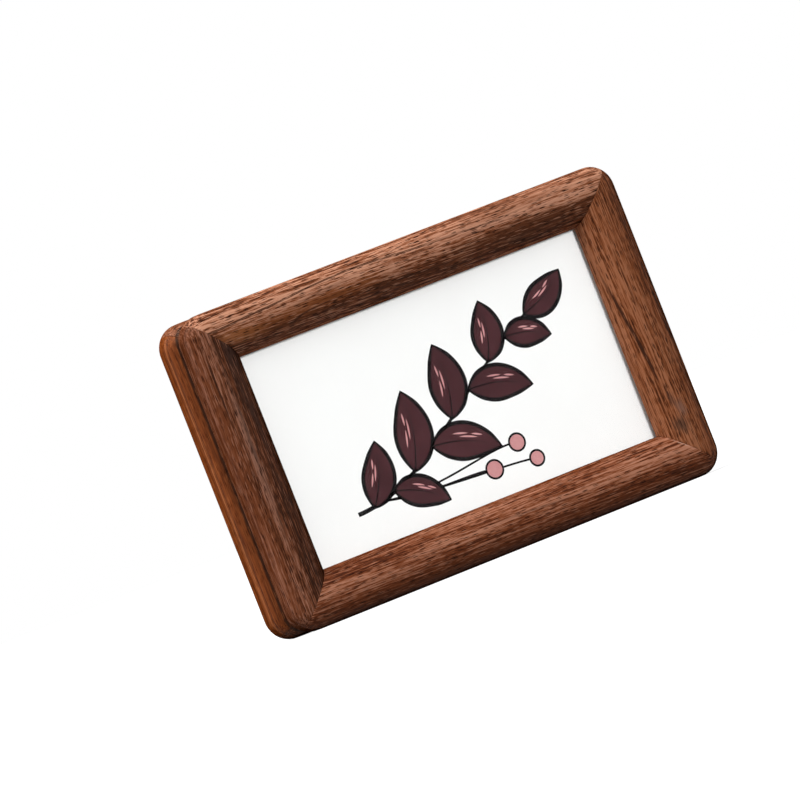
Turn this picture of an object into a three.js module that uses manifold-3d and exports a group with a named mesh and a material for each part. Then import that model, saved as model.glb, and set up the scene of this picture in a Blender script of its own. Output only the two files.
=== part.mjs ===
// A small double-sided picture frame in walnut, for two card-size pictures back to back.
// Two like leaves meet at a grooved seam, and magnets in their corners hold them together.
// Each leaf is a ring of moulding, mitred from four rails. From the window inwards, its rebate
// holds a clear panel, a picture card and a backing board.
//
// Millimetres, +Z up. X runs along the long rails, and the front faces -Y.
// The origin is on the ground, below the middle of the seam.

import * as THREE from 'three';
import { mergeVertices, toCreasedNormals } from 'three/addons/utils/BufferGeometryUtils.js';
import Module from 'manifold-3d';

// The picture, and how far the frame's lip covers its edge
const pictureWidth = 90;
const pictureHeight = 54;
const pictureThickness = 0.3;
const lipCover = 4;

// The moulding
const railWidth = 11;
const leafThickness = 9;
const outlineRadius = 5.2; // corners of the frame, seen from the front
const seamRadius = 4.5; // edge beside the seam: two of them make the groove
const outerRadius = 3.5; // edge between the side and the face
const sightRadius = 6; // edge between the face and the window
const faceSlope = THREE.MathUtils.degToRad(20); // of the crowned face, where it meets its edges

// The other layers in the rebate
const glazingThickness = 1.5;
const glazingChamfer = 0.2;
const backingThickness = 2;
const sidePlay = 0.25; // round the edge of each layer
const layerGap = 0.05; // between one layer and the next, and at both ends of the stack

// The magnets
const magnetDiameter = 2.5;
const magnetLength = 3;
const magnetChamfer = 0.2;
const magnetFit = 0.05; // glue round the magnet and under it
const magnetRecess = 0.05; // below the seam face
const magnetWall = 0.4; // wood left between a magnet's hole and the corner of the rebate

// The joints
const glueLine = 0.1; // at each mitre
const seamGap = 0.1; // between the two leaves

// How finely round shapes are drawn
const arcStep = THREE.MathUtils.degToRad(9);
const magnetSides = 24;
const creaseAngle = THREE.MathUtils.degToRad(30);

// A cut reaches this far past the faces that it goes through
const overrun = 1;

const quarterTurn = Math.PI / 2;

const windowWidth = pictureWidth - 2 * lipCover;
const windowHeight = pictureHeight - 2 * lipCover;
const frameWidth = windowWidth + 2 * railWidth;
const frameHeight = windowHeight + 2 * railWidth;

const acrylic = new THREE.MeshStandardMaterial({
  color: 0xf4f8f8,
  roughness: 0.06,
  metalness: 0,
  transparent: true,
  opacity: 0.25,
});
const card = new THREE.MeshStandardMaterial({ color: 0xfbfaf8, roughness: 0.6, metalness: 0 });
const fibreboard = new THREE.MeshStandardMaterial({ color: 0x9c7a55, roughness: 0.9, metalness: 0 });
const nickel = new THREE.MeshStandardMaterial({ color: 0xb8babd, roughness: 0.25, metalness: 1 });

// Each rail is a stick of its own, so its tone differs a little from its neighbours
const walnutTones = {
  front_top: 0x8c5b43,
  front_right: 0x77472f,
  front_bottom: 0x7d4e38,
  front_left: 0x6a4231,
  rear_top: 0x7b4a31,
  rear_right: 0x70422c,
  rear_bottom: 0x76472f,
  rear_left: 0x743e22,
};

// What the rebate holds, from the window inwards
const layers = [
  { name: 'glazing', thickness: glazingThickness, chamfer: glazingChamfer, material: acrylic },
  { name: 'picture_card', thickness: pictureThickness, chamfer: 0, material: card },
  { name: 'backing_board', thickness: backingThickness, chamfer: 0, material: fibreboard },
];
const rebateDepth = layers.reduce((depth, layer) => depth + layer.thickness + layerGap, layerGap);
const rebateInset = railWidth - lipCover - sidePlay;
const lipThickness = leafThickness - rebateDepth;

// A magnet's hole, and its centre's inset from both outer edges of its corner, on the mitre line
const magnetHoleRadius = magnetDiameter / 2 + magnetFit;
const magnetInset = rebateInset - (magnetHoleRadius + magnetWall) * Math.SQRT1_2;

const wasm = await Module();
wasm.setup();

// Turns a closed geometry into a solid that can be cut and joined
function toSolid(geometry) {
  const bare = new THREE.BufferGeometry();
  bare.setAttribute('position', geometry.getAttribute('position'));
  bare.setIndex(geometry.index);
  const merged = mergeVertices(bare);
  const corners = merged.index.array;
  const triangles = [];
  for (let i = 0; i < corners.length; i += 3) {
    const [a, b, c] = corners.slice(i, i + 3);
    if (a !== b && b !== c && c !== a) {
      triangles.push(a, b, c);
    }
  }
  return new wasm.Manifold(
    new wasm.Mesh({
      numProp: 3,
      vertProperties: merged.getAttribute('position').array,
      triVerts: Uint32Array.from(triangles),
    }),
  );
}

function toGeometry(solid) {
  const mesh = solid.getMesh();
  const geometry = new THREE.BufferGeometry();
  geometry.setAttribute('position', new THREE.BufferAttribute(mesh.vertProperties, 3));
  geometry.setIndex(new THREE.BufferAttribute(mesh.triVerts, 1));
  return toCreasedNormals(geometry, creaseAngle);
}

// Points along an arc drawn clockwise
function clockwiseArc(centreX, centreY, radius, startAngle, endAngle) {
  const steps = Math.ceil((startAngle - endAngle) / arcStep);
  const curve = new THREE.EllipseCurve(centreX, centreY, radius, radius, startAngle, endAngle, true);
  return curve.getPoints(steps);
}

// The moulding's crown, from the frame's side over the face and down into the window. The face
// is one arc, tangent to the round edges on both sides of it. A thin leaf has a flatter crown,
// so that both edges end above the seam's round and the rebate.
function crown() {
  const roundsWidth = (outerRadius + sightRadius) * (1 - Math.sin(faceSlope));
  const faceRadius = (railWidth - roundsWidth) / (2 * Math.sin(faceSlope));
  const crestInset = outerRadius + (faceRadius - outerRadius) * Math.sin(faceSlope);
  const faceCentre = leafThickness - faceRadius;
  const outerCentre = faceCentre + (faceRadius - outerRadius) * Math.cos(faceSlope);
  const sightCentre = faceCentre + (faceRadius - sightRadius) * Math.cos(faceSlope);
  const outerEnd = quarterTurn + faceSlope;
  const sightStart = quarterTurn - faceSlope;
  const flattening = Math.min(
    1,
    (leafThickness - seamRadius) / (leafThickness - outerCentre),
    lipThickness / (leafThickness - sightCentre),
  );
  const points = [
    ...clockwiseArc(outerRadius, outerCentre, outerRadius, 2 * quarterTurn, outerEnd),
    ...clockwiseArc(crestInset, faceCentre, faceRadius, outerEnd, quarterTurn).slice(1),
    ...clockwiseArc(crestInset, faceCentre, faceRadius, quarterTurn, sightStart).slice(1),
    ...clockwiseArc(railWidth - sightRadius, sightCentre, sightRadius, sightStart, 0).slice(1),
  ];
  return points.map(
    ({ x, y }) => new THREE.Vector2(x, leafThickness - (leafThickness - y) * flattening),
  );
}

// The moulding's section. x is the inset from the frame's outer edge towards the window, and y
// is the height above the seam face.
function mouldingSection() {
  return [
    ...clockwiseArc(seamRadius, seamRadius, seamRadius, 3 * quarterTurn, 2 * quarterTurn),
    ...crown(),
    new THREE.Vector2(railWidth, rebateDepth),
    new THREE.Vector2(rebateInset, rebateDepth),
    new THREE.Vector2(rebateInset, 0),
  ];
}

// The closed path that runs round the frame at one inset, counter-clockwise. Its corners are
// round as far in as the outline's radius reaches, and sharp further in.
function outlineAt(inset, height) {
  const radius = Math.max(outlineRadius - inset, 0);
  const reachX = frameWidth / 2 - inset - radius;
  const reachY = frameHeight / 2 - inset - radius;
  const corners = [
    [reachX, reachY],
    [-reachX, reachY],
    [-reachX, -reachY],
    [reachX, -reachY],
  ];
  const steps = Math.round(quarterTurn / arcStep);
  const path = [];
  corners.forEach(([x, y], corner) => {
    for (let step = 0; step <= steps; step += 1) {
      const angle = (corner + step / steps) * quarterTurn;
      path.push(x + radius * Math.cos(angle), y + radius * Math.sin(angle), height);
    }
  });
  return path;
}

// The whole ring of a leaf, lying on its seam face
function mouldingRing() {
  const section = mouldingSection();
  const paths = section.map((point) => outlineAt(point.x, point.y));
  const pathLength = paths[0].length / 3;
  const index = [];
  for (let i = 0; i < section.length; i += 1) {
    const next = (i + 1) % section.length;
    for (let j = 0; j < pathLength; j += 1) {
      const after = (j + 1) % pathLength;
      const a = i * pathLength + j;
      const b = i * pathLength + after;
      const c = next * pathLength + after;
      const d = next * pathLength + j;
      index.push(a, b, c, a, c, d);
    }
  }
  const geometry = new THREE.BufferGeometry();
  geometry.setAttribute('position', new THREE.Float32BufferAttribute(paths.flat(), 3));
  geometry.setIndex(index);
  return toSolid(geometry);
}

// The hole in a corner of the seam face that a magnet is glued into
function magnetHole(x, y) {
  const depth = magnetRecess + magnetLength + magnetFit;
  const length = depth + overrun;
  const hole = new THREE.CylinderGeometry(magnetHoleRadius, magnetHoleRadius, length, magnetSides);
  hole.rotateX(quarterTurn);
  hole.translate(x, y, (depth - overrun) / 2);
  return toSolid(hole);
}

// The wedge that keeps one rail of the ring. Both its ends are mitres, half a glue line back
// from the corner's diagonal. It is drawn for the top rail and turned to the others.
function mitreWedge(length, reach, turn) {
  const setBack = glueLine * Math.SQRT1_2;
  const outerHalf = length / 2 + overrun - setBack;
  const innerHalf = length / 2 - railWidth - overrun - setBack;
  const outline = new THREE.Shape([
    new THREE.Vector2(-outerHalf, reach + overrun),
    new THREE.Vector2(-innerHalf, reach - railWidth - overrun),
    new THREE.Vector2(innerHalf, reach - railWidth - overrun),
    new THREE.Vector2(outerHalf, reach + overrun),
  ]);
  const wedge = new THREE.ExtrudeGeometry(outline, {
    depth: leafThickness + 2 * overrun,
    bevelEnabled: false,
  });
  wedge.translate(0, 0, -overrun);
  wedge.rotateZ(turn);
  return toSolid(wedge);
}

// A flat sheet that drops into the rebate, lying on z = 0, with its arrises taken off
function rebateLayer({ thickness, chamfer }) {
  const width = pictureWidth - 2 * chamfer;
  const height = pictureHeight - 2 * chamfer;
  const outline = new THREE.Shape([
    new THREE.Vector2(-width / 2, -height / 2),
    new THREE.Vector2(width / 2, -height / 2),
    new THREE.Vector2(width / 2, height / 2),
    new THREE.Vector2(-width / 2, height / 2),
  ]);
  const sheet = new THREE.ExtrudeGeometry(outline, {
    depth: thickness - 2 * chamfer,
    bevelEnabled: chamfer > 0,
    bevelThickness: chamfer,
    bevelSize: chamfer,
    bevelSegments: 1,
  });
  sheet.translate(0, 0, chamfer);
  return sheet;
}

// A disc magnet standing on z = 0
function magnetDisc() {
  const radius = magnetDiameter / 2;
  const profile = [
    new THREE.Vector2(0, 0),
    new THREE.Vector2(radius - magnetChamfer, 0),
    new THREE.Vector2(radius, magnetChamfer),
    new THREE.Vector2(radius, magnetLength - magnetChamfer),
    new THREE.Vector2(radius - magnetChamfer, magnetLength),
    new THREE.Vector2(0, magnetLength),
  ];
  const disc = new THREE.LatheGeometry(profile, magnetSides);
  disc.rotateX(quarterTurn);
  return disc;
}

function addMesh(group, name, geometry, material) {
  const mesh = new THREE.Mesh(geometry, material);
  mesh.name = name;
  group.add(mesh);
  return mesh;
}

// One leaf, made lying on its seam face and then stood up. The front leaf faces -Y and the rear
// one +Y. Left and right are as seen from the front, so on the rear leaf they change places.
function buildLeaf(leafName, facing) {
  const leaf = new THREE.Group();
  const [left, right] = facing < 0 ? ['left', 'right'] : ['right', 'left'];
  const magnetX = frameWidth / 2 - magnetInset;
  const magnetY = frameHeight / 2 - magnetInset;
  const magnetPlaces = [
    { name: `top_${left}`, x: -magnetX, y: magnetY },
    { name: `top_${right}`, x: magnetX, y: magnetY },
    { name: `bottom_${left}`, x: -magnetX, y: -magnetY },
    { name: `bottom_${right}`, x: magnetX, y: -magnetY },
  ];
  const railPlaces = [
    { name: 'top', length: frameWidth, reach: frameHeight / 2, turn: 0 },
    { name: left, length: frameHeight, reach: frameWidth / 2, turn: quarterTurn },
    { name: 'bottom', length: frameWidth, reach: frameHeight / 2, turn: 2 * quarterTurn },
    { name: right, length: frameHeight, reach: frameWidth / 2, turn: 3 * quarterTurn },
  ];

  let ring = mouldingRing();
  for (const place of magnetPlaces) {
    ring = ring.subtract(magnetHole(place.x, place.y));
    const magnet = addMesh(leaf, `${leafName}_magnet_${place.name}`, magnetDisc(), nickel);
    magnet.position.set(place.x, place.y, magnetRecess);
  }

  for (const place of railPlaces) {
    const rail = ring.intersect(mitreWedge(place.length, place.reach, place.turn));
    const walnut = new THREE.MeshStandardMaterial({
      color: walnutTones[`${leafName}_${place.name}`],
      roughness: 0.5,
      metalness: 0,
    });
    addMesh(leaf, `${leafName}_${place.name}_rail`, toGeometry(rail), walnut);
  }

  let top = rebateDepth;
  for (const layer of layers) {
    top -= layerGap + layer.thickness;
    const sheet = addMesh(leaf, `${leafName}_${layer.name}`, rebateLayer(layer), layer.material);
    sheet.position.z = top;
  }

  leaf.rotation.set(quarterTurn, 0, facing < 0 ? 0 : Math.PI, 'ZYX');
  leaf.position.set(0, (facing * seamGap) / 2, frameHeight / 2);
  return leaf;
}

const group = new THREE.Group();
group.add(buildLeaf('front', -1));
group.add(buildLeaf('rear', 1));

export default group;
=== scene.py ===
"""Looks of a small double-sided picture frame in walnut.

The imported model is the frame: its solids, bodies and places. This script adds the finish: the eight rails in full
detail, clear panels, printed cards, boards and magnets, and a plain white studio round them.

Lengths are in millimetres until a mesh is made, and then in metres. +X runs along the long rails, +Z is up, and the
front faces -Y. A rail has axes of its own: x along its grain, y inwards from the frame's outer edge, and z up from
the seam face, which is where the two leaves meet.
"""
from math import ceil, cos, pi, radians, sin, sqrt

import bmesh
import bpy
from mathutils import Matrix, Vector


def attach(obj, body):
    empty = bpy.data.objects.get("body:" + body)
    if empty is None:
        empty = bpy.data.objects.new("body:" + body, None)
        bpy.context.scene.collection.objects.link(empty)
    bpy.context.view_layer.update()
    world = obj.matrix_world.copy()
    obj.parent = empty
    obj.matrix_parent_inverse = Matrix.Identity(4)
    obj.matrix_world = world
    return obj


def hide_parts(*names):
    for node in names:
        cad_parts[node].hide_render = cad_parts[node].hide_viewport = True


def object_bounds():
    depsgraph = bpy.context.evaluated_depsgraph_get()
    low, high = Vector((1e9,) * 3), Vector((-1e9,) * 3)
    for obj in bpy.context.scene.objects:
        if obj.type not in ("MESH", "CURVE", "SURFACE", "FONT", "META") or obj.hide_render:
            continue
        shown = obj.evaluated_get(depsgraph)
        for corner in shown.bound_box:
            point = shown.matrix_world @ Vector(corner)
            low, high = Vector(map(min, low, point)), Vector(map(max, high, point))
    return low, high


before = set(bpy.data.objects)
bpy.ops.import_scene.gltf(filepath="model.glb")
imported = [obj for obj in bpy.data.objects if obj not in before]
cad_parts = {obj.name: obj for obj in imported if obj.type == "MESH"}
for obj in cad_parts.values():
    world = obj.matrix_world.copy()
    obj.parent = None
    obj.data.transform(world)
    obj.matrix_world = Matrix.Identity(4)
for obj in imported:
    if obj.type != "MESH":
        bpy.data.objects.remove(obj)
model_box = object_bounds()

MM = 0.001

# The moulding, as the model has it
RAIL_WIDTH = 11
LEAF_THICKNESS = 9
OUTLINE_RADIUS = 5.2  # corners of the frame, seen from the front
SEAM_RADIUS = 4.5  # edge beside the seam
OUTER_RADIUS = 3.5  # edge between the side and the face
SIGHT_RADIUS = 6  # edge between the face and the window
FACE_SLOPE = radians(20)
REBATE_DEPTH = 4
REBATE_INSET = 6.75
MAGNET_INSET = 5.548
MAGNET_HOLE_RADIUS = 1.3
MAGNET_HOLE_DEPTH = 3.1
SEAM_GAP = 0.1

# What only the detailed rails have
ARRIS = 0.15  # radius of the rebate's sanded edges
MITRE_ARRIS = 0.05  # the same where two rails meet
MITRE_GAP = 0.01  # half the glue line
ARC_STEP = radians(3)
RAIL_STEP = 1.5  # between stations along a rail
SHARP_ANGLE = radians(35)

# The light: a wide glow from above, and lamps, each as (strength, width, direction that it comes from). The key lamp
# lights all but the cards and the print, the card lamp only those, once for each leaf, and the back lamp lights all
GLOW = 0.75
GLOW_REST = 0.03
GLOW_FROM = (-0.45, -0.10, 0.89)
KEY_LAMP = (1.15, radians(40), (-0.40, -0.30, 0.86))
BACK_LAMP = (0.35, radians(60), (-0.35, 0.60, 0.72))
CARD_LAMP = (0.74, radians(14), (-0.08, -0.99, 0.10))

LEAVES = {"front": -1, "rear": 1}  # which way each one faces along Y
SIDES = {"top": (0, 0, 1), "right": (1, 0, 0), "bottom": (0, 0, -1), "left": (-1, 0, 0)}

model_low, model_high = (corner / MM for corner in model_box)
FRAME_WIDTH = model_high.x - model_low.x
FRAME_HEIGHT = model_high.z - model_low.z


# --- Meshes ----------------------------------------------------------------------------------------------------------


def add_piece(name, mesh, material, body, matrix=None):
    """Puts a finished mesh in the scene and on its body."""
    piece = bpy.data.objects.new(name, mesh)
    bpy.context.scene.collection.objects.link(piece)
    if matrix:
        piece.matrix_world = matrix
    mesh.materials.append(material)
    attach(piece, body)
    return piece


def make_mesh(name, points, faces):
    """A closed mesh from points in millimetres, with its faces turned outwards."""
    bm = bmesh.new()
    corners = [bm.verts.new(Vector(point) * MM) for point in points]
    for face in faces:
        bm.faces.new([corners[i] for i in face])
    bmesh.ops.recalc_face_normals(bm, faces=bm.faces)
    mesh = bpy.data.meshes.new(name)
    bm.to_mesh(mesh)
    bm.free()
    return mesh


def smooth(mesh):
    """Smooth shading, apart from the edges that turn sharply."""
    bm = bmesh.new()
    bm.from_mesh(mesh)
    for face in bm.faces:
        face.smooth = True
    for edge in bm.edges:
        edge.smooth = edge.calc_face_angle(pi) < SHARP_ANGLE
    bm.to_mesh(mesh)
    bm.free()


def arc(centre, radius, start, end, steps=None):
    """Points on an arc from one angle to another."""
    steps = steps or ceil(abs(end - start) / ARC_STEP)
    angles = [start + (end - start) * i / steps for i in range(steps + 1)]
    return [(centre[0] + radius * cos(a), centre[1] + radius * sin(a)) for a in angles]


def moulding_section():
    """The rail's section, clockwise, as (inset from the outer edge, height above the seam face)."""
    rounds_width = (OUTER_RADIUS + SIGHT_RADIUS) * (1 - sin(FACE_SLOPE))
    face_radius = (RAIL_WIDTH - rounds_width) / (2 * sin(FACE_SLOPE))
    crest_inset = OUTER_RADIUS + (face_radius - OUTER_RADIUS) * sin(FACE_SLOPE)
    face_centre = LEAF_THICKNESS - face_radius
    outer_centre = face_centre + (face_radius - OUTER_RADIUS) * cos(FACE_SLOPE)
    sight_centre = face_centre + (face_radius - SIGHT_RADIUS) * cos(FACE_SLOPE)
    outer_end = pi / 2 + FACE_SLOPE
    sight_start = pi / 2 - FACE_SLOPE
    crown = [
        *arc((OUTER_RADIUS, outer_centre), OUTER_RADIUS, pi, outer_end),
        *arc((crest_inset, face_centre), face_radius, outer_end, sight_start)[1:],
        *arc((RAIL_WIDTH - SIGHT_RADIUS, sight_centre), SIGHT_RADIUS, sight_start, 0)[1:],
    ]
    flattening = min(
        1,
        (LEAF_THICKNESS - SEAM_RADIUS) / (LEAF_THICKNESS - outer_centre),
        (LEAF_THICKNESS - REBATE_DEPTH - ARRIS) / (LEAF_THICKNESS - sight_centre),
    )
    return [
        *arc((SEAM_RADIUS, SEAM_RADIUS), SEAM_RADIUS, 1.5 * pi, pi),
        *[(inset, LEAF_THICKNESS - (LEAF_THICKNESS - height) * flattening) for inset, height in crown],
        *arc((RAIL_WIDTH - ARRIS, REBATE_DEPTH + ARRIS), ARRIS, 0, -pi / 2, steps=3),
        (REBATE_INSET, REBATE_DEPTH),
        *arc((REBATE_INSET - ARRIS, ARRIS), ARRIS, 0, -pi / 2, steps=3),
    ]


def outward(section):
    """The direction that points out of a clockwise section at each of its points."""
    directions = []
    for i, point in enumerate(section):
        before = section[i - 1]
        after = section[(i + 1) % len(section)]
        along = Vector((after[0] - before[0], after[1] - before[1])).normalized()
        directions.append((-along.y, along.x))
    return directions


def mitre_stations():
    """Stations near a rail's end, as (distance from the mitre, how far its arris takes the surface in)."""
    steps = 3
    eased = []
    for i in range(steps + 1):
        turn = i / steps * pi / 2
        eased.append((MITRE_ARRIS * (1 - cos(turn)), MITRE_ARRIS * (1 - sin(turn))))
    return eased + [(distance, 0) for distance in (0.3, 0.6, 1.0, 1.5, 2.1, 2.8, 3.6)]


def rail_point(length, inset, height, distance):
    """A point of the rail's surface at one end, this far back from the mitre."""
    radius = max(OUTLINE_RADIUS - inset, 0)
    reach = length / 2 - inset - radius
    corner = reach + radius * sqrt(0.5)
    along = corner - (distance + MITRE_GAP) * sqrt(2)
    past = max(along - reach, 0)
    across = inset + radius - sqrt(radius * radius - past * past) if radius else inset
    return along, across, height


def rail_mesh(name, length):
    """One rail in its own axes, centred on x = 0."""
    section = moulding_section()
    normals = outward(section)
    stations = mitre_stations()
    spans = ceil((length - 2 * RAIL_WIDTH) / RAIL_STEP)
    points = []
    for (inset, height), (out_x, out_y) in zip(section, normals):
        end = [
            rail_point(length, inset - out_x * ease, height - out_y * ease, distance) for distance, ease in stations
        ]
        last = end[-1][0]
        middle = [(last - 2 * last * i / spans, inset, height) for i in range(1, spans)]
        other_end = [(-x, y, z) for x, y, z in reversed(end)]
        points += end + middle + other_end
    columns = len(points) // len(section)
    faces = []
    for row in range(len(section)):
        here = row * columns
        following = (row + 1) % len(section) * columns
        for column in range(columns - 1):
            faces.append((here + column, here + column + 1, following + column + 1, following + column))
    faces.append([row * columns for row in range(len(section))])
    faces.append([row * columns + columns - 1 for row in range(len(section))])
    mesh = make_mesh(name, points, faces)
    for side in (-1, 1):
        drill(mesh, side * (length / 2 - MAGNET_INSET), MAGNET_INSET)
    smooth(mesh)
    return mesh


def drill(mesh, x, y):
    """Cuts a magnet's hole into a rail's seam face."""
    bm = bmesh.new()
    bmesh.ops.create_cone(
        bm,
        cap_ends=True,
        segments=64,
        radius1=MAGNET_HOLE_RADIUS * MM,
        radius2=MAGNET_HOLE_RADIUS * MM,
        depth=2 * MAGNET_HOLE_DEPTH * MM,
        matrix=Matrix.Translation(Vector((x, y, 0)) * MM),
    )
    bit_mesh = bpy.data.meshes.new("drill_bit")
    bm.to_mesh(bit_mesh)
    bm.free()
    bit = bpy.data.objects.new("drill_bit", bit_mesh)
    work = bpy.data.objects.new("drilled", mesh)
    for piece in (bit, work):
        bpy.context.scene.collection.objects.link(piece)
    cut = work.modifiers.new("drill", "BOOLEAN")
    cut.operation = "DIFFERENCE"
    cut.solver = "EXACT"
    cut.object = bit
    graph = bpy.context.evaluated_depsgraph_get()
    drilled = bpy.data.meshes.new_from_object(work.evaluated_get(graph))
    bm = bmesh.new()
    bm.from_mesh(drilled)
    bm.to_mesh(mesh)
    bm.free()
    for piece in (work, bit):
        bpy.data.objects.remove(piece)
    for used in (bit_mesh, drilled):
        bpy.data.meshes.remove(used)


def rail_matrix(facing, side):
    """Places a rail's own axes in the frame."""
    outer = Vector(SIDES[side])
    inwards = -outer
    up = Vector((0, facing, 0))
    along = inwards.cross(up)
    half = FRAME_WIDTH / 2 if outer.x else FRAME_HEIGHT / 2
    origin = Vector((0, facing * SEAM_GAP / 2, FRAME_HEIGHT / 2)) + outer * half
    matrix = Matrix((along, inwards, up)).transposed().to_4x4()
    matrix.translation = origin * MM
    return matrix


# --- Materials -------------------------------------------------------------------------------------------------------


class Graph:
    """One material's node tree, with a short call for each kind of node."""

    def __init__(self, name):
        self.material = bpy.data.materials.new(name)
        self.material.use_nodes = True
        self.tree = self.material.node_tree
        self.tree.nodes.clear()

    def add(self, kind, inputs, **settings):
        """A node, with its settings made and its inputs linked or set."""
        node = self.tree.nodes.new(kind)
        for key, value in settings.items():
            setattr(node, key, value)
        for key, value in inputs.items():
            if isinstance(value, bpy.types.NodeSocket):
                self.tree.links.new(value, node.inputs[key])
            else:
                node.inputs[key].default_value = value
        return node

    def object_place(self):
        return self.add("ShaderNodeTexCoord", {}).outputs["Object"]

    def math(self, operation, first, second=0.0, third=0.0, clamp=False):
        node = self.add("ShaderNodeMath", {0: first, 1: second, 2: third}, operation=operation, use_clamp=clamp)
        return node.outputs[0]

    def vector(self, operation, first, second):
        node = self.add("ShaderNodeVectorMath", {0: first, 1: second}, operation=operation)
        return node.outputs["Value"] if operation in ("LENGTH", "DOT_PRODUCT") else node.outputs["Vector"]

    def mapping(self, vector, location=(0, 0, 0), rotation=(0, 0, 0), scale=(1, 1, 1)):
        places = {"Vector": vector, "Location": location, "Rotation": rotation, "Scale": scale}
        return self.add("ShaderNodeMapping", places).outputs["Vector"]

    def noise(self, vector, scale, detail=2.0, roughness=0.5, output="Fac"):
        settings = {"Vector": vector, "Scale": scale, "Detail": detail, "Roughness": roughness}
        return self.add("ShaderNodeTexNoise", settings).outputs[output]

    def noise_along(self, distance, scale, detail=2.0, roughness=0.5):
        settings = {"W": distance, "Scale": scale, "Detail": detail, "Roughness": roughness}
        return self.add("ShaderNodeTexNoise", settings, noise_dimensions="1D").outputs["Fac"]

    def cells(self, vector):
        """Distance to the nearest of many scattered points, and that point's own random value."""
        node = self.add("ShaderNodeTexVoronoi", {"Vector": vector, "Scale": 1.0})
        return node.outputs["Distance"], node.outputs["Color"]

    def step(self, value, start, end, low=0.0, high=1.0):
        """Goes from low to high as the value goes from start to end, gently at both."""
        settings = {"Value": value, "From Min": start, "From Max": end, "To Min": low, "To Max": high}
        node = self.add("ShaderNodeMapRange", settings, interpolation_type="SMOOTHSTEP")
        return node.outputs["Result"]

    def ramp(self, value, stops):
        node = self.add("ShaderNodeValToRGB", {"Fac": value})
        elements = node.color_ramp.elements
        while len(elements) < len(stops):
            elements.new(0.5)
        for element, (position, colour) in zip(elements, stops):
            element.position = position
            element.color = (*colour, 1)
        return node.outputs["Color"]

    def mix(self, factor, first, second, blend="MIX"):
        first, second = (c if isinstance(c, bpy.types.NodeSocket) else (*c, 1) for c in (first, second))
        inputs = {0: factor, 6: first, 7: second}
        node = self.add("ShaderNodeMix", inputs, data_type="RGBA", blend_type=blend, clamp_factor=True)
        return node.outputs[2]

    def bump(self, height, strength, distance):
        settings = {"Height": height, "Strength": strength, "Distance": distance}
        return self.add("ShaderNodeBump", settings).outputs["Normal"]

    def principled(self, inputs):
        return self.add("ShaderNodeBsdfPrincipled", inputs).outputs["BSDF"]

    def finish(self, shader):
        self.add("ShaderNodeOutputMaterial", {"Surface": shader})
        return self.material
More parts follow.
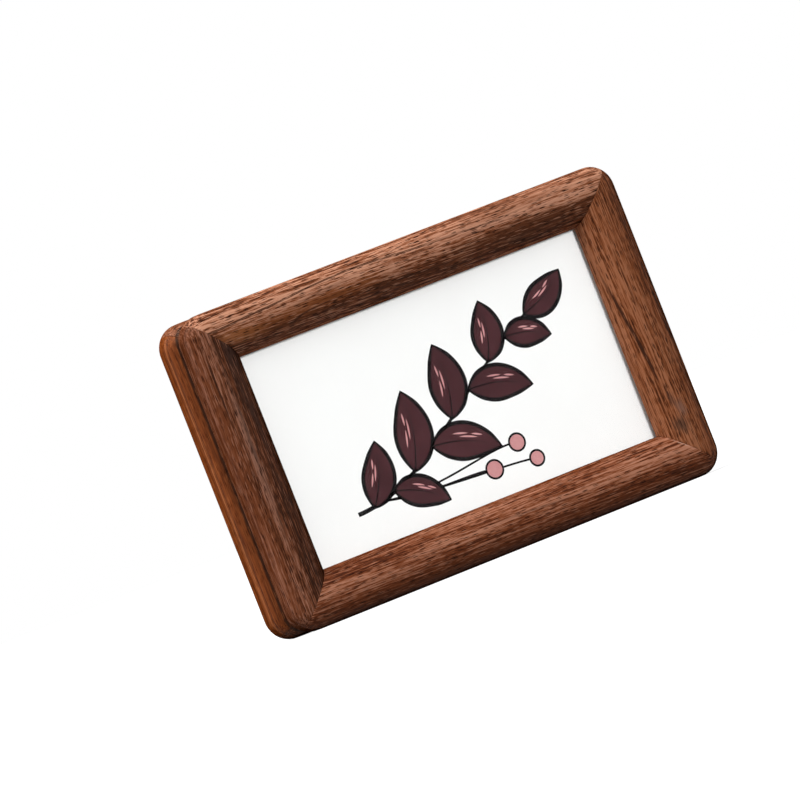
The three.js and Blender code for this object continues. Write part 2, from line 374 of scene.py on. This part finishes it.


# Each rail is a stick of its own. heart is where the tree's heart lies from the rail's outer seam edge, lean is how
# the grain runs out of the rail's length, shade is how much paler or darker the stick is at each inset, and the tones
# go from the darkest growth line to the palest. A mark is one streak or patch that stands out: its middle and its half
# size in the rail's own axes, its turn in degrees, its colour and how strongly it covers.
#
# The front rails and the rear left one were tuned by rendering, until the mean colours of bands along them came near
# the photo's, so their shades, tones and marks are partly the wood's own and partly painted light and shade. On the
# front rails the shade is paler on the rounds that face up and to the left, and darker on those that face down and to
# the right. The other rear rails aren't seen in it.
WOODS = {
    "front_top": {
        "seed": 11, "heart": (-26, -34), "lean": (0.012, -0.02), "grain": 1.15,
        "shade": (
            (0, 0.0), (1.3, 0.06), (2.1, 0.34), (2.9, 0.54), (3.7, 0.40), (4.6, 0.20), (5.8, 0.0), (7.0, -0.16),
            (8.0, -0.20), (11, -0.12),
        ),
        "tones": ((0.040, 0.010, 0.003), (0.130, 0.034, 0.011), (0.235, 0.073, 0.029), (0.540, 0.258, 0.160)),
        "marks": (
            ((40.5, 7.0, 8), (6.5, 1.6, 9), -4, (0.360, 0.125, 0.042), 0.75),
            ((24.0, 6.4, 8), (22.0, 2.0, 9), 1, (0.225, 0.066, 0.019), 0.60),
            ((20.0, 4.6, 9), (11.0, 0.6, 9), 5, (0.050, 0.016, 0.008), 0.35),
            # Painted highlights along the crest of the right half
            ((-18.0, 3.4, 9), (14.0, 0.5, 9), -3, (0.470, 0.230, 0.150), 0.35),
            ((-28.0, 4.2, 8), (26.0, 0.6, 9), 0, (0.420, 0.200, 0.130), 0.50),
            # Painted shade on the right half's inner round, which faces down
            ((-28.0, 6.8, 8), (26.0, 2.0, 9), 0, (0.060, 0.015, 0.004), 0.72),
            ((-28.0, 1.7, 7), (26.0, 2.4, 9), 0, (0.200, 0.070, 0.034), 0.55),
            # More painted shade on that inner round, nearer the window
            ((-28.0, 8.6, 8), (26.0, 1.3, 9), 0, (0.052, 0.014, 0.005), 0.50),
        ),
    },
    "front_right": {
        "seed": 23, "heart": (44, -38), "lean": (-0.015, 0.01),
        "shade": (
            (0, -0.16), (2.5, 0.04), (4.8, 0.26), (6.4, 0.32), (7.8, 0.08), (9.0, 0.14), (10.1, 0.30), (11, 0.26),
        ),
        "tones": ((0.036, 0.009, 0.002), (0.110, 0.028, 0.008), (0.192, 0.056, 0.019), (0.315, 0.118, 0.056)),
        "marks": (
            ((-1.2, 9.05, 7), (17.0, 0.36, 9), 6.1, (0.020, 0.006, 0.003), 0.95),
            ((-22.5, 6.8, 8.5), (2.6, 2.0, 9), 20, (0.046, 0.025, 0.017), 0.75),
            ((-17.0, 6.8, 8.5), (2.8, 0.9, 9), 15, (0.050, 0.024, 0.017), 0.65),
            ((-19.3, 5.6, 9), (2.2, 1.2, 9), 10, (0.135, 0.078, 0.062), 0.60),
            ((8.0, 6.6, 8), (9.0, 0.30, 9), 3, (0.030, 0.009, 0.004), 0.55),
        ),
    },
    "front_bottom": {
        "seed": 37, "heart": (-30, -52), "lean": (0.010, 0.015),
        "shade": (
            (0, -0.38), (2.4, -0.26), (3.8, -0.10), (5.2, 0.06), (6.6, 0.34), (8.0, -0.14), (9.4, -0.08), (11, -0.12),
        ),
        "tones": ((0.042, 0.008, 0.002), (0.132, 0.030, 0.008), (0.215, 0.070, 0.032), (0.370, 0.160, 0.096)),
        "marks": (
            # A thin pale line along the lower right mitre: a painted highlight where the joint catches the light
            ((44.0, 7.6, 8), (2.6, 0.14, 9), -44, (0.420, 0.240, 0.170), 0.80),
            ((8.0, 6.4, 9), (16.0, 0.35, 9), -2, (0.035, 0.010, 0.005), 0.45),
            # Painted shade along the outer round, which faces down
            ((0, 1.2, 6), (60, 2.8, 9), 0, (0.085, 0.019, 0.004), 0.50),
        ),
    },
    "front_left": {
        "seed": 41, "heart": (38, -30), "lean": (0.012, 0.012),
        "shade": ((0, 0.02), (2.2, -0.02), (3.3, 0.16), (4.5, 0.06), (5.9, -0.30), (7.5, -0.20), (11, -0.12)),
        "tones": ((0.022, 0.006, 0.002), (0.074, 0.020, 0.007), (0.140, 0.043, 0.018), (0.290, 0.125, 0.078)),
        "marks": (
            ((0, 0.6, 6), (60, 2.6, 4.6), 0, (0.108, 0.026, 0.007), 0.65),
            ((-18.0, 2.2, 9), (12.0, 0.24, 9), 1, (0.014, 0.005, 0.003), 0.80),
            # A painted highlight along the crest
            ((-4.0, 4.2, 9), (20.0, 1.2, 9), -1, (0.230, 0.120, 0.086), 0.40),
            # Painted shade on the inner round, which faces right: at the top corner and along the upper part
            ((-25.0, 8.4, 7), (7.0, 3.4, 9), 0, (0.030, 0.012, 0.008), 0.90),
            ((-12.0, 7.3, 8), (13.0, 1.1, 9), 4, (0.028, 0.010, 0.006), 0.75),
        ),
    },
    "rear_top": {
        "seed": 53, "heart": (-42, -36), "lean": (0.010, 0.010),
        "shade": ((0, 0.02), (5.0, 0.04), (11, -0.08)),
        "tones": ((0.040, 0.011, 0.004), (0.110, 0.032, 0.012), (0.190, 0.060, 0.026), (0.330, 0.140, 0.080)),
        "marks": (),
    },
    "rear_right": {
        "seed": 67, "heart": (36, -44), "lean": (-0.012, 0.010),
        "shade": ((0, 0.0), (5.0, 0.03), (11, -0.05)),
        "tones": ((0.030, 0.008, 0.003), (0.090, 0.026, 0.010), (0.165, 0.050, 0.022), (0.300, 0.120, 0.066)),
        "marks": (),
    },
    "rear_bottom": {
        "seed": 79, "heart": (-34, -48), "lean": (-0.010, 0.012),
        "shade": ((0, -0.04), (5.0, 0.03), (11, 0.03)),
        "tones": ((0.036, 0.010, 0.004), (0.105, 0.030, 0.012), (0.185, 0.058, 0.025), (0.320, 0.130, 0.074)),
        "marks": (),
    },
    "rear_left": {
        # Its tones are warmer and more orange than the other rails': painted light
        "seed": 83, "heart": (46, -30), "lean": (0.004, -0.004), "grain": 0.55,
        "shade": ((0, 0.0), (5.0, 0.0), (11, -0.05)),
        "tones": ((0.040, 0.009, 0.002), (0.110, 0.024, 0.005), (0.190, 0.046, 0.010), (0.310, 0.096, 0.030)),
        "marks": (
            # A painted highlight along the bulge of its side, a dark line below it, and painted shade nearer the seam
            ((0, 0, 3.6), (70, 3, 0.25), 0, (0.420, 0.140, 0.045), 0.55),
            ((0, 0, 2.95), (70, 3, 0.22), 0, (0.030, 0.008, 0.003), 0.65),
            ((0, 0, 1.5), (70, 4, 0.45), 0, (0.080, 0.020, 0.005), 0.50),
        ),
    },
}
TONE_STOPS = (0.08, 0.36, 0.60, 0.95)
PORE_TONE = (0.016, 0.005, 0.003)

# Painted shade in the groove beside the seam. Places along a rail are counted from where the outline's rounding starts
GROOVE_PAINTED_SHADE = (0.012, 0.004, 0.002)
GROOVE_HEIGHTS = (1.25, 0.95)  # above the seam: where the tone starts, and where it is full
GROOVE_INSETS = (3.2, 2.2)  # the same, from the outer edge
GROOVE_COVER = 0.95  # how strongly it covers the short rails and the corners
GROOVE_COVER_ALONG = 0.35  # the same along the long rails
COVER_PLACES = (-8.0, -1.0)  # where on a long rail the faint cover ends, and where the full one starts
CORNER_RISE = 0.9  # how much higher it reaches on a long rail, where the rounding starts
MITRE_RISE = 0.35  # the same at the mitre, on both rails
RISE_PLACES = (-3.0, 0.0, 3.5)  # where the rise starts, where it is the corner's, and where it is the mitre's


def walnut(name, wood, length):
    """Oiled walnut, cut from a solid tree: growth bands round its heart, streaks, fibres and open pores. Its colour
    also holds painted shade in the groove and painted light and shade across the tuned rails.
    """
    g = Graph(name)
    seed = wood["seed"]
    heart_y, heart_z = wood["heart"]
    lean_y, lean_z = wood["lean"]
    stick = g.mapping(g.object_place(), scale=(1 / MM, 1 / MM, 1 / MM))
    place = g.mapping(stick, location=(seed * 17.3, -heart_y, -heart_z), rotation=(0, -lean_z, lean_y))

    drift = g.noise(g.mapping(place, scale=(0.018, 0.07, 0.07)), 1.0, detail=2.0, output="Color")
    drift = g.vector("MULTIPLY", g.vector("SUBTRACT", drift, (0.5, 0.5, 0.5)), (0, 5, 5))
    across = g.vector("MULTIPLY", g.vector("ADD", place, drift), (0, 1, 1))
    radius = g.vector("LENGTH", across, (0, 0, 0))

    bands = g.noise_along(radius, 0.36, detail=2.0, roughness=0.55)
    lines = g.noise_along(radius, 1.9, detail=3.0, roughness=0.65)
    streaks = g.noise(g.mapping(place, scale=(0.045, 2.8, 2.8)), 1.0, detail=3.0, roughness=0.6)
    fibres = g.noise(g.mapping(place, scale=(0.26, 4.0, 4.0)), 1.0, detail=3.0, roughness=0.72)

    sides = g.add("ShaderNodeSeparateXYZ", {"Vector": stick}).outputs
    inset, height = sides["Y"], sides["Z"]
    # The shade table: the stick's own tone across its section, and on the tuned rails painted light and shade as well
    shades = [(at / RAIL_WIDTH, (0.5 + more, 0.5 + more, 0.5 + more)) for at, more in wood["shade"]]
    tone = g.ramp(g.math("DIVIDE", inset, RAIL_WIDTH), shades)
    grain = wood.get("grain", 1.0)
    for part, weight in ((bands, 0.7), (lines, 0.9), (streaks, 2.3), (fibres, 2.2)):
        tone = g.math("MULTIPLY_ADD", g.math("SUBTRACT", part, 0.5), weight * grain, tone)
    colour = g.ramp(tone, list(zip(TONE_STOPS, wood["tones"])))

    # Marks: streaks and patches of the wood, some of them painted highlights and painted shade
    for middle, half_size, turn, hue, cover in wood["marks"]:
        local = g.mapping(g.vector("SUBTRACT", stick, middle), rotation=(0, 0, radians(-turn)))
        local = g.mapping(local, scale=tuple(1 / half for half in half_size))
        edge = g.math("MULTIPLY_ADD", g.math("SUBTRACT", streaks, 0.5), 1.6, g.vector("LENGTH", local, (0, 0, 0)))
        colour = g.mix(g.step(edge, 1.1, 0.3, 0.0, cover), colour, hue)

    # The seam reads as a dark line in the photo, so the wood beside it is painted darker, as painted shade in the
    # groove between the leaves. That is full on the short rails and at the corners, which the photo's view shows, and
    # faint along the long rails, where it looked blotchy with the leaves apart
    past = g.math("SUBTRACT", g.math("ABSOLUTE", sides["X"]), length / 2 - OUTLINE_RADIUS)
    high = CORNER_RISE if length == FRAME_WIDTH else 0.0
    start, corner, mitre = RISE_PLACES
    rise = g.step(past, start, corner, 0.0, high)
    rise = g.math("SUBTRACT", rise, g.step(past, corner, mitre, 0.0, high - MITRE_RISE))
    low = g.step(g.math("SUBTRACT", height, rise), *GROOVE_HEIGHTS)
    groove = g.math("MULTIPLY", low, g.step(inset, *GROOVE_INSETS))
    cover = g.step(past, *COVER_PLACES, GROOVE_COVER_ALONG, GROOVE_COVER) if high else GROOVE_COVER
    groove = g.math("MULTIPLY", groove, cover)
    colour = g.mix(groove, colour, GROOVE_PAINTED_SHADE)

    # Fine dark growth lines that come and go
    there = g.noise(g.mapping(place, location=(7.1, 2.3, 4.9), scale=(0.022, 0.35, 0.35)), 1.0, detail=1.0)
    growth = g.math("MULTIPLY", g.step(lines, 0.58, 0.68), g.step(there, 0.42, 0.62, 0.1 * grain, 0.85 * grain))
    colour = g.mix(growth, colour, wood["tones"][0])

    # Open pores, and pale flecks that are partly pale fibres and partly painted glints of their sheen, long along the
    # grain. Pores crowd in some growth bands and are rare in others
    distance, chance = g.cells(g.mapping(place, scale=(0.48, 4.1, 4.1)))
    chance = g.add("ShaderNodeSeparateColor", {"Color": chance})
    near = g.math("MULTIPLY", g.step(distance, 0.50, 0.24), g.step(chance.outputs["Blue"], 0.0, 1.0, 0.45, 1.0))
    crowd = g.math("MULTIPLY_ADD", bands, -0.9, 1.05)
    pores = g.math("MULTIPLY", near, g.math("LESS_THAN", chance.outputs["Red"], crowd))
    colour = g.mix(g.math("MULTIPLY", pores, 0.92 * grain), colour, PORE_TONE)
    distance, chance = g.cells(g.mapping(place, location=(3.7, 1.9, 5.1), scale=(0.36, 4.1, 4.1)))
    chance = g.add("ShaderNodeSeparateColor", {"Color": chance})
    near = g.step(distance, 0.44, 0.20)
    flecks = g.math("MULTIPLY", near, g.math("LESS_THAN", chance.outputs["Green"], 0.40))
    colour = g.mix(g.math("MULTIPLY", flecks, 0.62 * grain), colour, wood["tones"][3])

    relief = g.math("MULTIPLY_ADD", pores, -1.0, g.math("MULTIPLY", fibres, 0.55))
    relief = g.math("MULTIPLY_ADD", streaks, 0.35, relief)
    roughness = g.math("MULTIPLY_ADD", pores, 0.25, g.step(fibres, 0.3, 0.7, 0.42, 0.56))
    edge_on = g.add("ShaderNodeLayerWeight", {"Blend": 0.5}).outputs["Facing"]
    gloss = g.math("MULTIPLY", g.step(edge_on, 0.2, 0.6, 0.2, 0.0), g.math("SUBTRACT", 1.0, pores))
    shader = g.principled({
        "Base Color": colour,
        "Roughness": roughness,
        "Specular IOR Level": gloss,
        "Specular Tint": (1.0, 0.55, 0.38, 1.0),
        "Normal": g.bump(relief, 0.6, 0.00006),
    })
    return g.finish(shader)


def acrylic():
    """The clear panel. Light and shadow go straight through it to the card. The photo shows no glare on it, so it
    bends and reflects light less than real acrylic does."""
    g = Graph("clear_acrylic")
    place = g.object_place()
    wipes = g.noise(g.mapping(place, scale=(60, 60, 60)), 1.0, detail=3.0)
    pane = g.principled({
        "Base Color": (0.985, 0.995, 0.99, 1),
        "Roughness": g.step(wipes, 0.35, 0.75, 0.01, 0.05),
        "IOR": 1.12,
        "Specular IOR Level": 0.05,
        "Transmission Weight": 1.0,
    })
    path = g.add("ShaderNodeLightPath", {})
    passing = g.math("MAXIMUM", path.outputs["Is Shadow Ray"], path.outputs["Is Diffuse Ray"])
    clear = g.add("ShaderNodeBsdfTransparent", {"Color": (0.97, 0.97, 0.97, 1)}).outputs["BSDF"]
    return g.finish(g.add("ShaderNodeMixShader", {0: passing, 1: pane, 2: clear}).outputs["Shader"])


def paper():
    """Smooth white card."""
    g = Graph("white_card")
    place = g.object_place()
    fibres = g.noise(g.mapping(place, scale=(2200, 2200, 2200)), 1.0, detail=4.0, roughness=0.65)
    cloud = g.noise(g.mapping(place, scale=(70, 70, 70)), 1.0, detail=2.0)
    colour = g.mix(g.step(cloud, 0.3, 0.7), (0.925, 0.92, 0.915), (0.935, 0.935, 0.93))
    shader = g.principled({
        "Base Color": colour,
        "Roughness": g.step(fibres, 0.3, 0.7, 0.55, 0.75),
        "Normal": g.bump(fibres, 0.12, 0.00002),
    })
    return g.finish(shader)


def fibreboard():
    """Brown hardboard with pressed fibres."""
    g = Graph("fibreboard")
    place = g.object_place()
    fibres = g.noise(g.mapping(place, scale=(1500, 1500, 420)), 1.0, detail=5.0, roughness=0.7)
    cloud = g.noise(g.mapping(place, scale=(160, 160, 160)), 1.0, detail=3.0)
    colour = g.ramp(fibres, [(0.25, (0.16, 0.082, 0.036)), (0.5, (0.30, 0.170, 0.082)), (0.8, (0.46, 0.30, 0.16))])
    colour = g.mix(g.step(cloud, 0.35, 0.7, 0.0, 0.35), colour, (0.22, 0.12, 0.055))
    shader = g.principled({
        "Base Color": colour,
        "Roughness": g.step(fibres, 0.3, 0.7, 0.75, 0.92),
        "Normal": g.bump(fibres, 0.6, 0.00006),
    })
    return g.finish(shader)


def nickel():
    """Nickel plating with fine scuffs."""
    g = Graph("nickel")
    place = g.object_place()
    scuffs = g.noise(g.mapping(place, scale=(900, 5200, 900)), 1.0, detail=4.0, roughness=0.65)
    cloud = g.noise(g.mapping(place, scale=(500, 500, 500)), 1.0, detail=2.0)
    colour = g.mix(g.step(cloud, 0.3, 0.7), (0.62, 0.60, 0.57), (0.70, 0.69, 0.67))
    shader = g.principled({
        "Base Color": colour,
        "Metallic": 1.0,
        "Roughness": g.step(scuffs, 0.3, 0.75, 0.16, 0.34),
        "Normal": g.bump(scuffs, 0.15, 0.00001),
    })
    return g.finish(shader)


def ink(name, light, dark):
    """Printed ink, a little uneven."""
    g = Graph(name)
    place = g.object_place()
    grain = g.noise(g.mapping(place, scale=(2600, 2600, 2600)), 1.0, detail=3.0, roughness=0.6)
    cloud = g.noise(g.mapping(place, scale=(240, 240, 240)), 1.0, detail=2.0)
    tone = g.math("MULTIPLY_ADD", g.math("SUBTRACT", grain, 0.5), 0.6, cloud)
    shader = g.principled({
        "Base Color": g.mix(g.step(tone, 0.3, 0.7), dark, light),
        "Roughness": g.step(grain, 0.3, 0.7, 0.45, 0.65),
        "Specular IOR Level": 0.05,
    })
    return g.finish(shader)


def dress(node, material):
    """Gives a model node its finish."""
    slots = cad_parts[node].data.materials
    slots.clear()
    slots.append(material)


# --- The front picture: a sprig with plum leaves and berries, printed in four inks ------------------------------------

PRINT_BASE = 2.395  # the inks' foot, just under the card's face, as a height above the seam face
PRINT_TOPS = {"outline": 2.410, "leaf": 2.418, "berry": 2.418, "light": 2.426, "vein": 2.426}
OUTLINE_WIDTH = 0.55
FINEST_LINE = 0.08
# On each leaf: where a light stroke starts and ends along it, and how far it lies off its middle, as shares
LIGHT_STROKES = ((0.30, 0.52, 0.23), (0.40, 0.66, 0.13), (0.58, 0.74, 0.22))
STEM = ((-28, -15.5), (-10, -15), (3, 1), (24, 10.5))
# Along the stem: place, side, angle from the stem in degrees, length, width
PRINT_LEAVES = (
    (0.08, 1, 58, 13, 6.2), (0.19, -1, 46, 12, 5.4), (0.31, 1, 52, 16, 7.4), (0.43, -1, 50, 15, 6.8),
    (0.56, 1, 50, 15, 7.2), (0.68, -1, 48, 14, 6.4), (0.80, 1, 46, 12, 6.0), (0.90, -1, 44, 10, 5.0),
    (1.00, 1, 4, 12, 5.6),
)
# Each berry's middle and radius, from the middle of the card. All their stalks leave the stem at one place
BERRY_STALKS = 0.12
PRINT_BERRIES = (((4.5, -17.0), 1.7), ((11.5, -13.5), 1.6), ((14.5, -18.0), 1.4))


def bend(points, t):
    """A point on a cubic curve, and the direction there."""
    a, b, c, d = (Vector(point) for point in points)
    here = a * (1 - t) ** 3 + b * 3 * t * (1 - t) ** 2 + c * 3 * t * t * (1 - t) + d * t ** 3
    ahead = (b - a) * (1 - t) ** 2 + (c - b) * 2 * t * (1 - t) + (d - c) * t * t
    return here, ahead.normalized()


def turned(direction, degrees):
    """A direction on the card, turned anticlockwise."""
    return Matrix.Rotation(radians(degrees), 2) @ direction


def strip(shape, path, widths, top):
    """Adds a thin closed strip along a path on the front card to a shape's points and faces."""
    points, faces = shape
    first = len(points)
    for i, (here, width) in enumerate(zip(path, widths)):
        along = (path[min(i + 1, len(path) - 1)] - path[max(i - 1, 0)]).normalized()
        across = Vector((-along.y, along.x)) * width / 2
        for x, z in (here + across, here - across):
            for height in (PRINT_BASE, top):
                points.append((x, -SEAM_GAP / 2 - height, FRAME_HEIGHT / 2 + z))
    for a in range(first, len(points) - 4, 4):
        b = a + 4
        faces += [(a + 1, b + 1, b + 3, a + 3), (a, a + 2, b + 2, b)]
        faces += [(a, b, b + 1, a + 1), (a + 2, a + 3, b + 3, b + 2)]
    last = len(points) - 4
    faces += [(first, first + 1, first + 3, first + 2), (last, last + 2, last + 3, last + 1)]


def print_leaf(shapes, root, towards, length, width, curl):
    """One leaf: an outline under a plum blade, a vein, and three light strokes on its upper half."""

    def spine(start, end, steps, shift=0.0):
        path = []
        for i in range(steps + 1):
            t = start + (end - start) * i / steps
            side = turned(towards, 90)
            path.append(root + towards * length * t + side * (curl * sin(pi * t) + shift))
        return path

    def add(name, path, widths):
        strip(shapes[name], path, widths, PRINT_TOPS[name])

    steps = 22
    blade = [width * sin(pi * (i / steps) ** 0.85) ** 0.9 for i in range(steps + 1)]
    grown = length + 2 * OUTLINE_WIDTH
    reach = OUTLINE_WIDTH / length
    border = []
    for i, w in enumerate(blade):
        fade = min(1, 6 * i / steps, 6 * (1 - i / steps))
        border.append(w * grown / length + 2 * OUTLINE_WIDTH * fade + FINEST_LINE)
    add("outline", spine(-reach, 1 + reach, steps), border)
    add("leaf", spine(0, 1, steps), [max(w, 0.05) for w in blade])
    add("vein", spine(0, 0.86, 14), [0.34 - 0.018 * i for i in range(15)])
    stroke = [FINEST_LINE + 0.30 * sin(pi * i / 8) for i in range(9)]
    for start, end, shift in LIGHT_STROKES:
        add("light", spine(start, end, 8, shift * width), stroke)


def print_disc(shape, centre, radius, top):
    """Adds a thin closed disc on the front card to a shape's points and faces."""
    sides = 36
    points, faces = shape
    first = len(points)
    for i in range(sides):
        x = centre.x + radius * cos(2 * pi * i / sides)
        z = centre.y + radius * sin(2 * pi * i / sides)
        points += [(x, -SEAM_GAP / 2 - height, FRAME_HEIGHT / 2 + z) for height in (PRINT_BASE, top)]
    rim = [first + 2 * i for i in range(sides)]
    faces += [tuple(rim), tuple(i + 1 for i in rim)]
    for i in range(sides):
        a, b = rim[i], rim[(i + 1) % sides]
        faces.append((a, b, b + 1, a + 1))


def print_sprig():
    """Prints the sprig on the front card, and gives its pieces."""
    shapes = {name: ([], []) for name in PRINT_TOPS}
    stem = [bend(STEM, i / 48)[0] for i in range(49)]
    strip(shapes["outline"], stem, [0.95 - 0.010 * i for i in range(49)], PRINT_TOPS["outline"])
    for place, side, angle, length, width in PRINT_LEAVES:
        root, ahead = bend(STEM, place)
        print_leaf(shapes, root, turned(ahead, side * angle), length, width, -side * 0.07 * length)
    root = bend(STEM, BERRY_STALKS)[0]
    for centre, radius in PRINT_BERRIES:
        centre = Vector(centre)
        sag = Vector((0.4 * (centre.x - root.x), -2.6))
        stalk = [bend((root, root + sag, centre - sag * 0.5, centre), i / 20)[0] for i in range(21)]
        strip(shapes["outline"], stalk, [0.42] * 21, PRINT_TOPS["outline"])
        print_disc(shapes["outline"], centre, radius + OUTLINE_WIDTH * 0.8, PRINT_TOPS["outline"])
        print_disc(shapes["berry"], centre, radius, PRINT_TOPS["berry"])
    inks = {
        "outline": ink("black_ink", (0.006, 0.005, 0.005), (0.003, 0.002, 0.003)),
        "leaf": ink("plum_ink", (0.066, 0.020, 0.024), (0.048, 0.014, 0.017)),
        "berry": ink("rose_ink", (0.620, 0.300, 0.300), (0.540, 0.240, 0.245)),
        "light": ink("pink_ink", (0.640, 0.320, 0.320), (0.560, 0.255, 0.260)),
    }
    inks["vein"] = inks["outline"]
    pieces = []
    for name, (points, faces) in shapes.items():
        mesh = make_mesh(f"print_{name}", points, faces)
        pieces.append(add_piece(f"front_print_{name}", mesh, inks[name], "front_leaf"))
    return pieces


# --- Studio ----------------------------------------------------------------------------------------------------------


def add_floor():
    """A pale floor that keeps the frame's shadow. It shows white, and sends less light back up than it shows."""
    reach = 6
    mesh = bpy.data.meshes.new("floor")
    corners = [(-reach, -reach, 0), (reach, -reach, 0), (reach, reach, 0), (-reach, reach, 0)]
    mesh.from_pydata(corners, [], [(0, 1, 2, 3)])
    floor = bpy.data.objects.new("floor", mesh)
    bpy.context.scene.collection.objects.link(floor)
    g = Graph("floor")
    path = g.add("ShaderNodeLightPath", {})
    seen = g.math("MAXIMUM", path.outputs["Is Camera Ray"], path.outputs["Is Glossy Ray"])
    seen = g.math("MAXIMUM", seen, path.outputs["Is Transmission Ray"])
    matte = g.add("ShaderNodeBsdfDiffuse", {"Color": (0.30, 0.30, 0.30, 1)}).outputs["BSDF"]
    glow = g.add("ShaderNodeEmission", {"Color": (1, 1, 1, 1), "Strength": 0.7}).outputs["Emission"]
    bright = g.add("ShaderNodeAddShader", {0: matte, 1: glow}).outputs["Shader"]
    dim = g.add("ShaderNodeBsdfDiffuse", {"Color": (0.09, 0.09, 0.09, 1)}).outputs["BSDF"]
    mesh.materials.append(g.finish(g.add("ShaderNodeMixShader", {0: seen, 1: dim, 2: bright}).outputs["Shader"]))


def add_world():
    """White where it is seen. As a light, it is one wide soft glow from above and from the left, and dim elsewhere."""
    world = bpy.data.worlds.new("studio")
    bpy.context.scene.world = world
    world.use_nodes = True
    tree = world.node_tree
    tree.nodes.clear()

    path = tree.nodes.new("ShaderNodeLightPath")
    seen = path.outputs["Is Camera Ray"]
    for ray in ("Is Glossy Ray", "Is Transmission Ray"):
        either = tree.nodes.new("ShaderNodeMath")
        either.operation = "MAXIMUM"
        tree.links.new(seen, either.inputs[0])
        tree.links.new(path.outputs[ray], either.inputs[1])
        seen = either.outputs[0]

    direction = tree.nodes.new("ShaderNodeTexCoord")
    facing = tree.nodes.new("ShaderNodeVectorMath")
    facing.operation = "DOT_PRODUCT"
    facing.inputs[1].default_value = Vector(GLOW_FROM).normalized()
    tree.links.new(direction.outputs["Generated"], facing.inputs[0])
    level = tree.nodes.new("ShaderNodeMapRange")
    level.interpolation_type = "SMOOTHSTEP"
    for socket, value in (("From Min", -0.3), ("From Max", 0.3), ("To Min", GLOW_REST), ("To Max", GLOW)):
        level.inputs[socket].default_value = value
    tree.links.new(facing.outputs["Value"], level.inputs["Value"])

    backgrounds = []
    for strength in (level.outputs["Result"], None):
        background = tree.nodes.new("ShaderNodeBackground")
        background.inputs["Color"].default_value = (1, 1, 1, 1)
        if strength:
            tree.links.new(strength, background.inputs["Strength"])
        backgrounds.append(background)
    mix = tree.nodes.new("ShaderNodeMixShader")
    tree.links.new(seen, mix.inputs[0])
    for socket, background in zip(mix.inputs[1:], backgrounds):
        tree.links.new(background.outputs["Background"], socket)
    output = tree.nodes.new("ShaderNodeOutputWorld")
    tree.links.new(mix.outputs["Shader"], output.inputs["Surface"])


def add_lamp(name, lamp):
    """A broad soft lamp, far away."""
    strength, width, towards = lamp
    light = bpy.data.lights.new(name, "SUN")
    light.energy = strength * pi
    light.angle = width
    piece = bpy.data.objects.new(name, light)
    piece.rotation_euler = Vector(towards).to_track_quat("Z", "Y").to_euler()
    bpy.context.scene.collection.objects.link(piece)
    return piece


def add_lamps(cards):
    """The key lamp shapes the wood from the upper left. The cards lie deep behind the rails, so they are lit from
    straight ahead instead, which keeps them as white as the rails' shadow lets them be."""
    group = bpy.data.collections.new("cards")
    for card in cards:
        group.objects.link(card)
    others = bpy.data.collections.new("all_but_cards")
    for card in cards:
        others.objects.link(card)
    for link in others.collection_objects:
        link.light_linking.link_state = "EXCLUDE"
    key = add_lamp("key", KEY_LAMP)
    key.light_linking.receiver_collection = others
    add_lamp("back", BACK_LAMP)
    strength, width, (x, y, z) = CARD_LAMP
    for name, facing in LEAVES.items():
        lamp = add_lamp(f"{name}_card_lamp", (strength, width, (x, -facing * y, z)))
        lamp.light_linking.receiver_collection = group


def add_camera():
    """The photograph's view, found by fitting the frame's edges in it."""
    azimuth, elevation, roll = radians(26.176), radians(-0.325), radians(21.452)
    distance = 1899.1
    off_axis = (8.292, 0.226)  # how far the frame's centre lies right of the camera's axis, and below it
    back = Vector((-sin(azimuth) * cos(elevation), -cos(azimuth) * cos(elevation), sin(elevation)))
    level_right = Vector((0, 0, 1)).cross(back).normalized()
    level_up = back.cross(level_right)
    right = level_right * cos(roll) - level_up * sin(roll)
    up = level_right * sin(roll) + level_up * cos(roll)
    place = Vector((0, 0, FRAME_HEIGHT / 2)) + back * distance - right * off_axis[0] + up * off_axis[1]
    data = bpy.data.cameras.new("camera")
    data.sensor_width = 36
    data.lens = 418.5
    data.clip_start = 0.05
    data.clip_end = 50
    camera = bpy.data.objects.new("camera", data)
    matrix = Matrix((right, up, back)).transposed().to_4x4()
    matrix.translation = place * MM
    camera.matrix_world = matrix
    bpy.context.scene.collection.objects.link(camera)
    bpy.context.scene.camera = camera


# --- The scene -------------------------------------------------------------------------------------------------------

bpy.context.scene.view_settings.view_transform = "Standard"
add_camera()
add_world()
add_floor()

finishes = {"glazing": acrylic(), "picture_card": paper(), "backing_board": fibreboard()}
plating = nickel()
rail_meshes = {}
for leaf, facing in LEAVES.items():
    body = f"{leaf}_leaf"
    for side in SIDES:
        node = f"{leaf}_{side}_rail"
        length = FRAME_WIDTH if side in ("top", "bottom") else FRAME_HEIGHT
        if length not in rail_meshes:
            rail_meshes[length] = rail_mesh("rail", length)
        mesh = rail_meshes[length].copy()
        wood = walnut(f"walnut_{leaf}_{side}", WOODS[f"{leaf}_{side}"], length)
        rail = add_piece(f"{node}_detailed", mesh, wood, body, rail_matrix(facing, side))
        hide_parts(node)
    for layer, finish in finishes.items():
        dress(f"{leaf}_{layer}", finish)
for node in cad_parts:
    if "_magnet_" in node:
        dress(node, plating)

sprig = print_sprig()
add_lamps([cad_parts[f"{leaf}_picture_card"] for leaf in LEAVES] + sprig)
